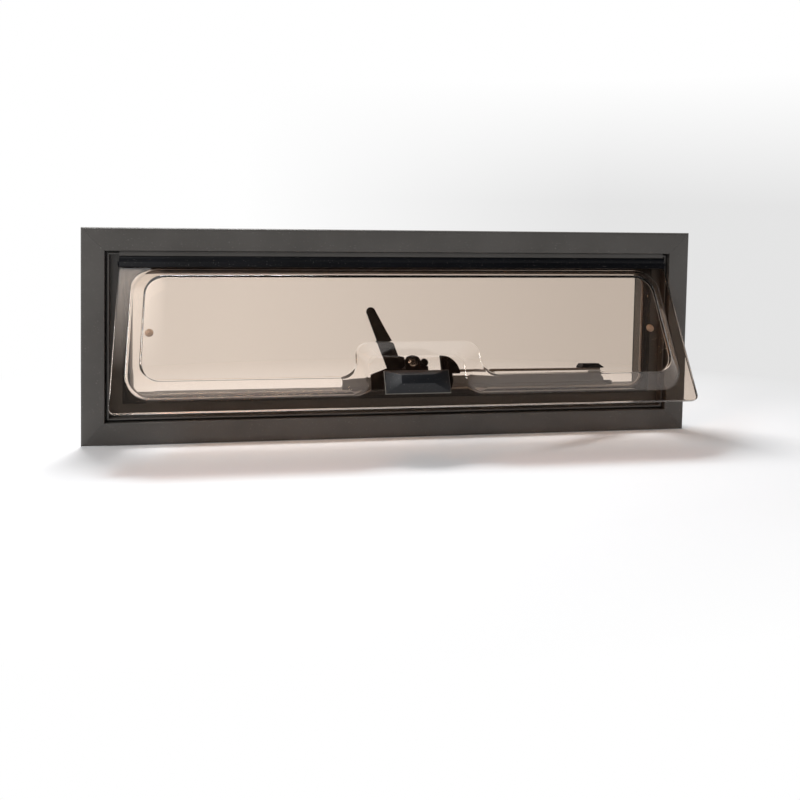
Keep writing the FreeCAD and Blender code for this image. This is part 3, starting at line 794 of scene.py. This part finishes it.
bracket = Stack()
arc = [(BRACKET_LEFT + BRACKET_RADIUS * math.sin(math.radians(a)),
        BASE_TOP + 4 - BRACKET_RADIUS * math.cos(math.radians(a))) for a in range(0, 91, 6)]
pane_slab(bracket, [(BRACKET_LEFT, BASE_TOP + 4)] + arc, BASE_IN, BASE_OUT - 0.8)
for step in range(3):
    x = BRACKET_LEFT + 0.8 + 3.4 * step
    top = BASE_TOP + 4 - math.sqrt(BRACKET_RADIUS ** 2 - (x + 1.4 - BRACKET_LEFT) ** 2)
    pane_slab(bracket, box_outline(x, x + 1.4, top + 0.6, BASE_TOP + 3), BASE_OUT - 1.2, BASE_OUT)
piece("bracket", bracket, "pane", "latch_black", ["stay_bracket"], 0.25)

# %% [markdown]
# The lever turns on a hub beside the base and leans to the left at rest. Its blade has a
# round tip, widens downwards, and turns into a foot that joins the hub. The outline is
# drawn as it lies on the pane, and only its tip is an arc.

# %% Lever, hub and screw
LEVER_OUT = -6.8
LEVER_IN = -9.8
TONGUE_IN = -20.0
HUB_RADIUS = 8.3
TIP_X, TIP_DOWN, TIP_RADIUS = -38.7, 59.9, 5.0

blade = [(-25.6, 127.0), (-30.0, 110.5), (-34.8, 93.5), (-37.9, 82.0)]
blade += [(TIP_X + TIP_RADIUS * math.cos(math.radians(a)), TIP_DOWN + TIP_RADIUS * math.sin(math.radians(a)))
          for a in range(165, 346, 15)]
blade += [(-23.8, 82.0), (-19.0, 92.5), (-16.4, 96.5), (-12.4, 111.8), (-7.0, 113.2), (-3.5, 121.0),
          (-10.0, 127.0)]
lever = Stack()
pane_slab(lever, blade, LEVER_IN, LEVER_OUT)
turned(lever, HUB_X, HUB_DOWN, [(HUB_RADIUS - 1.6, TONGUE_IN), (HUB_RADIUS - 1, TONGUE_IN + 1),
                                (HUB_RADIUS - 0.8, LEVER_IN - 2), (HUB_RADIUS, LEVER_IN - 1.2),
                                (HUB_RADIUS, LEVER_OUT)])
piece("lever", lever, "lever", "latch_black", ["lever_handle", "lever_collar"], 0.45)

screw = Stack()
head = [(HEAD_RADIUS * math.cos(math.radians(a)), -4.4 + 1.2 * math.sin(math.radians(a)))
        for a in range(0, 90, 12)] + [(0.3, -3.2)]
turned(screw, HUB_X, HUB_DOWN, [(2.5, -6.4), (2.5, -5.2), (HEAD_RADIUS, -5.0)] + head)
turned(screw, HUB_X, HUB_DOWN, [(3.6, TONGUE_IN - 2.4), (4.4, TONGUE_IN - 1.6), (4.4, TONGUE_IN - 0.1)], 6)
piece("hub_bolt", screw, "lever", "screw_steel", ["hub_screw"])

# %% [markdown]
# The keeper bar stands on the sill behind the pane. It is a strip with one rounded upper
# corner, a step along its front where the upright meets its foot, and a small end stop
# behind. The stay's slider hangs behind the bar, and its arm and clip lie on top.

# %% Keeper bar and slider
BAR_LEFT, BAR_RIGHT, FOOT_RIGHT = -64.0, 253.0, 265.0
BAR_FRONT, BAR_BACK = 13.0, 16.0
BAR_HIGH = SILL + 14.0
BAR_STEP = 5.2


def frame_slab(stack, corners, radii, y_low, y_high):
    """An upright plate between two depths, from its outline in X and Z."""
    outline = rounded(corners, radii, 5)
    stack.shell([[in_frame(x, y, z) for x, z in outline] for y in (y_low, y_high)])


def frame_box(stack, x_low, x_high, y_low, y_high, z_low, z_high):
    corners = [(x_low, z_low), (x_high, z_low), (x_high, z_high), (x_low, z_high)]
    frame_slab(stack, corners, [0.3] * 4, y_low, y_high)


bar = Stack()
bar_foot = SILL + 0.05
frame_slab(bar, [(BAR_LEFT, bar_foot), (BAR_RIGHT, bar_foot), (BAR_RIGHT, BAR_HIGH), (BAR_LEFT, BAR_HIGH)],
           [0.4, 0.4, 8.0, 1.5], BAR_FRONT, BAR_BACK)
frame_box(bar, BAR_LEFT + 0.2, BAR_RIGHT - 1, BAR_FRONT - 0.8, BAR_FRONT + 0.1, SILL + 0.15, SILL + BAR_STEP)
frame_box(bar, BAR_LEFT + 0.1, FOOT_RIGHT, BAR_BACK - 0.1, 27.0, SILL + 0.1, SILL + 1.5)
frame_box(bar, BAR_LEFT + 0.3, FOOT_RIGHT - 0.1, BAR_BACK + 3.4, BAR_BACK + 4.6, SILL + 1.3, SILL + 5)
frame_box(bar, FOOT_RIGHT - 1.7, FOOT_RIGHT - 0.2, BAR_BACK, BAR_BACK + 3.5, SILL + 1.2, SILL + 4.9)
piece("bar", bar, "frame", "bar_metal", ["keeper_bar", "bar_stop"], 0.3)

slider_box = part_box("stay_shoe")
slider_x = (slider_box[0][0] + slider_box[1][0]) / 2 / MM
slider = Stack()
frame_box(slider, slider_x - 8, slider_x + 8, BAR_FRONT - 0.3, BAR_BACK + 3.0, BAR_HIGH + 0.3, BAR_HIGH + 2.4)
frame_box(slider, slider_x - 8, slider_x + 8, BAR_BACK + 0.4, BAR_BACK + 3.0, SILL + 1.8, BAR_HIGH + 1)
piece("slider", slider, "shoe", "latch_black", ["stay_shoe"], 0.3)
print("slider at x", round(slider_x, 1))

dressed("arm", "stay_arm", "stay", (0, 0, 0), 0.35)

# %% Clip on the arm's end
PIVOT = Vector((243.0, 14.5, -154.9))
STAY_UP = Vector((0.0184, 0.1631, 0.9864))
stay_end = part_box("stay_bracket")
reach = (Vector(stay_end[0]) + Vector(stay_end[1])) / 2 / MM - PIVOT
stay_along = (reach - STAY_UP * reach.dot(STAY_UP)).normalized()
stay_aside = STAY_UP.cross(stay_along)


def on_stay(along, aside, up):
    return (PIVOT + stay_along * along + stay_aside * aside + STAY_UP * up) * MM


clip = Stack()
CLIP_LEVELS = ((-8.0, 26.0, 5.6, 2.85), (-8.0, 26.5, 5.6, 4.0), (-1.0, 24.0, 4.0, 8.2))
clip.shell([[on_stay(a, b, up) for a, b in ((low, -half), (high, -half), (high, half), (low, half))]
            for low, high, half, up in CLIP_LEVELS])
piece("clip", clip, "stay", "latch_black", ["stay_clip"], 0.5)
dressed("tongue", "lever_tongue", "lever", (0, 0, 0), 0.3)

# %% [markdown]
# Heads of screws and plugs repeat, so Geometry Nodes place them. One tree puts a low dome
# on every point it is given, with a smaller dome on it, and turns it to face the right way.
# The clamping ring on the room side is held by a row of screws, and the inner sheet has two
# vent plugs.

# %% Tree for round heads on points
heads, sizes, ending = new_tree("heads_on_points", {
    "Radius": FLOAT, "Height": FLOAT, "Turn": "NodeSocketVector", "Material": "NodeSocketMaterial"})
INNER_SHARE = 0.55
INNER_LIFT = 1.45


def low_dome(share, lift):
    """A sphere flattened to a share of the head's radius and a multiple of its height."""
    ball = heads.nodes.new("GeometryNodeMeshUVSphere")
    ball.inputs["Segments"].default_value = 32
    ball.inputs["Rings"].default_value = 12
    ball.inputs["Radius"].default_value = 1.0
    squeeze = heads.nodes.new("ShaderNodeCombineXYZ")
    for axis, (size, factor) in enumerate((("Radius", share), ("Radius", share), ("Height", lift))):
        scale = heads.nodes.new("ShaderNodeMath")
        scale.operation = "MULTIPLY"
        scale.inputs[1].default_value = factor
        heads.links.new(sizes.outputs[size], scale.inputs[0])
        heads.links.new(scale.outputs["Value"], squeeze.inputs[axis])
    form = heads.nodes.new("GeometryNodeTransform")
    heads.links.new(ball.outputs["Mesh"], form.inputs["Geometry"])
    heads.links.new(squeeze.outputs["Vector"], form.inputs["Scale"])
    return form.outputs["Geometry"]


both = heads.nodes.new("GeometryNodeJoinGeometry")
for share, lift in ((INNER_SHARE, INNER_LIFT), (1.0, 1.0)):
    heads.links.new(low_dome(share, lift), both.inputs["Geometry"])
place = heads.nodes.new("GeometryNodeInstanceOnPoints")
facing = heads.nodes.new("FunctionNodeEulerToRotation")
heads.links.new(sizes.outputs["Geometry"], place.inputs["Points"])
heads.links.new(both.outputs["Geometry"], place.inputs["Instance"])
heads.links.new(sizes.outputs["Turn"], facing.inputs["Euler"])
heads.links.new(facing.outputs["Rotation"], place.inputs["Rotation"])
end_tree(heads, place.outputs["Instances"], sizes, ending)

# %% Screws of the clamping ring
CLAMP_BACK = 30.7
SCREW_INSET = 36.0
ring_low, ring_high = BOTTOM + SCREW_INSET, TOP - SCREW_INSET
ring_side = SIDE - SCREW_INSET
spots = []
for k in range(7):
    x = -ring_side + 2 * ring_side * k / 6
    spots += [in_frame(x, CLAMP_BACK, ring_low), in_frame(x, CLAMP_BACK, ring_high)]
middle = (ring_low + ring_high) / 2
spots += [in_frame(way * ring_side, CLAMP_BACK, middle) for way in (-1, 1)]
grow("clamp_screws", heads, {"Radius": 3.4 * MM, "Height": 1.3 * MM, "Turn": (math.radians(-90), 0, 0)},
     spots, "frame", "screw_steel", [])
print("clamp screws:", len(spots))

# %% Vent plugs in the inner sheet
PLUG_AWAY = 279.2
PLUG_DOWN = 84.4
plug_spots = [on_pane(PANE_X + way * PLUG_AWAY, PLUG_DOWN, -SHEET - 0.3) for way in (-1, 1)]
grow("plugs", heads, {"Radius": 4.5 * MM, "Height": 1.2 * MM, "Turn": (math.radians(90) - OPEN, 0, 0)},
     plug_spots, "pane", "plug_clear", ["vent_plugs"])

# %% [markdown]
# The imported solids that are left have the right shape. Each gets its finish by the slot
# that the record names for it.

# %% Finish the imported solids
for name, node in frame["nodes"].items():
    node.data.materials.clear()
    node.data.materials.append(FINISHES[SLOTS[name]])
print("finished nodes:", len(SLOTS))

# %% [markdown]
# The stage is a white floor that runs on into a white sky. Near the window the floor is a
# plain pale surface that takes the soft shadow. Further out it changes to an even white of
# its own, so that no horizon shows. To the right, at mid height, floor and sky both turn a
# little grey, as the background of the photo does.

# %% Floor
FLOOR_HALF = 8.0
FLOOR_NEAR, FLOOR_FAR = 0.48, 0.80
FLOOR_SQUEEZE = 1.7
FLOOR_LIFT = 0.08
FLOOR_COLOR = (0.80, 0.80, 0.81)
FLOOR_GAP = 0.0005
SHADE_X = (0.02, 0.42)
SHADE_ABOVE = (0.0, 0.14)
SHADE_BELOW = (-0.22, -0.33)
SHADE = 0.78


def paleness(nodes, links, vector):
    """White that turns a little grey to the right at mid height, by the way a camera ray runs."""
    split = nodes.new("ShaderNodeSeparateXYZ")
    links.new(vector, split.inputs["Vector"])
    grey = spread(nodes, links, split.outputs["X"], *SHADE_X, 0, 1 - SHADE)
    for edge in (SHADE_ABOVE, SHADE_BELOW):
        grey = combine(nodes, links, "MULTIPLY", grey, spread(nodes, links, split.outputs["Z"], *edge, 1, 0))
    return combine(nodes, links, "SUBTRACT", 1.0, grey)


floor_level = BOTTOM * MM - FLOOR_GAP
floor_mesh = bpy.data.meshes.new("floor")
corners = [(x * FLOOR_HALF, y * FLOOR_HALF, floor_level) for x, y in ((-1, -1), (1, -1), (1, 1), (-1, 1))]
floor_mesh.from_pydata(corners, [], [(0, 1, 2, 3)])
floor = bpy.data.objects.new("floor", floor_mesh)
bpy.context.scene.collection.objects.link(floor)
floor_finish, nodes, links, shader = finish("floor", FLOOR_COLOR, 0.9)
shader.inputs["Specular IOR Level"].default_value = 0.0
coordinates = nodes.new("ShaderNodeTexCoord")
oval = nodes.new("ShaderNodeMapping")
oval.inputs["Scale"].default_value = (1, FLOOR_SQUEEZE, 0)
distance = nodes.new("ShaderNodeVectorMath")
distance.operation = "LENGTH"
links.new(coordinates.outputs["Object"], oval.inputs["Vector"])
links.new(oval.outputs["Vector"], distance.inputs[0])
away = spread(nodes, links, distance.outputs["Value"], FLOOR_NEAR, FLOOR_FAR, 0, 1)
path = nodes.new("ShaderNodeLightPath")
visible = combine(nodes, links, "MAXIMUM", path.outputs["Is Camera Ray"], path.outputs["Is Transmission Ray"])
visible = combine(nodes, links, "MAXIMUM", visible, path.outputs["Is Glossy Ray"])
offset = nodes.new("ShaderNodeVectorMath")
offset.operation = "SUBTRACT"
offset.inputs[1].default_value = Vector(CAMERA_PLACE) * MM
way = nodes.new("ShaderNodeVectorMath")
way.operation = "NORMALIZE"
links.new(coordinates.outputs["Object"], offset.inputs[0])
links.new(offset.outputs["Vector"], way.inputs[0])
pale = paleness(nodes, links, way.outputs["Vector"])
glow = nodes.new("ShaderNodeEmission")
links.new(pale, glow.inputs["Strength"])
lifted = nodes.new("ShaderNodeEmission")
links.new(combine(nodes, links, "MULTIPLY", visible, FLOOR_LIFT), lifted.inputs["Strength"])
near = nodes.new("ShaderNodeAddShader")
links.new(shader.outputs["BSDF"], near.inputs[0])
links.new(lifted.outputs["Emission"], near.inputs[1])
fade = nodes.new("ShaderNodeMixShader")
links.new(combine(nodes, links, "MULTIPLY", visible, away), fade.inputs["Fac"])
links.new(near.outputs["Shader"], fade.inputs[1])
links.new(glow.outputs["Emission"], fade.inputs[2])
links.new(fade.outputs["Shader"], nodes["Material Output"].inputs["Surface"])
floor_mesh.materials.append(floor_finish)

# %% [markdown]
# Light. The sky is white to the camera and through the acrylic, and gives an even light.
# In reflections it is dark high up in front, as the ceiling of a room is, because the open
# pane mirrors that part: a bright one would turn the smoked sheet milky. One bright patch is
# left in it, which puts the grey sheen on the pane's left border. A broad lamp above throws
# the soft brown shadow, and a soft box at the upper left lights the front of the frame.

# %% Sky and lamps
CEILING = 0.012
CEILING_Z = (0.18, 0.45)
CEILING_Y = (0.25, -0.05)
PATCH = 2.4
PATCH_X = (-0.068, -0.098)
PATCH_Z = (0.765, 0.825)
HORIZON = 0.8
PLAIN = 0.35
world = bpy.data.worlds.new("sky")
bpy.context.scene.world = world
world.use_nodes = True
nodes = world.node_tree.nodes
links = world.node_tree.links
background = nodes["Background"]
background.inputs["Color"].default_value = (1, 1, 1, 1)
direction = nodes.new("ShaderNodeTexCoord")
parts = nodes.new("ShaderNodeSeparateXYZ")
links.new(direction.outputs["Generated"], parts.inputs["Vector"])
height = spread(nodes, links, parts.outputs["Z"], *CEILING_Z, 0, 1)
forward = spread(nodes, links, parts.outputs["Y"], *CEILING_Y, 0, 1)
dark = combine(nodes, links, "MULTIPLY", height, forward)
path = nodes.new("ShaderNodeLightPath")


def chosen(share, when_one, otherwise):
    """Picks between two strengths by a value of 0 or 1."""
    node = nodes.new("ShaderNodeMix")
    links.new(share, node.inputs["Factor"])
    for socket, value in (("A", otherwise), ("B", when_one)):
        if isinstance(value, float):
            node.inputs[socket].default_value = value
        else:
            links.new(value, node.inputs[socket])
    return node.outputs["Result"]


aside = spread(nodes, links, parts.outputs["X"], *PATCH_X, 0, 1)
above = spread(nodes, links, parts.outputs["Z"], *PATCH_Z, 0, 1)
patch = combine(nodes, links, "MULTIPLY", combine(nodes, links, "MULTIPLY", aside, above), PATCH)
ceiling = combine(nodes, links, "ADD", patch, CEILING)
backdrop = paleness(nodes, links, direction.outputs["Generated"])
mirrored = chosen(dark, ceiling, HORIZON)
through = chosen(dark, ceiling, backdrop)
strength = chosen(path.outputs["Is Glossy Ray"], mirrored, PLAIN)
strength = chosen(path.outputs["Is Transmission Ray"], through, strength)
strength = chosen(path.outputs["Is Camera Ray"], backdrop, strength)
links.new(strength, background.inputs["Strength"])


def lamp(name, place, target, width, height, power):
    data = bpy.data.lights.new(name, "AREA")
    data.shape = "RECTANGLE"
    data.size = width
    data.size_y = height
    data.energy = power
    made = bpy.data.objects.new(name, data)
    made.location = place
    made.rotation_euler = (Vector(target) - Vector(place)).to_track_quat("-Z", "Y").to_euler()
    bpy.context.scene.collection.objects.link(made)


lamp("top_lamp", (-0.28, 0.55, 1.45), (0, -0.03, -0.1), 0.7, 0.5, 27.0)
lamp("soft_box", (-1.30, -0.90, 1.10), (-0.15, -0.05, -0.1), 0.5, 0.5, 11.0)
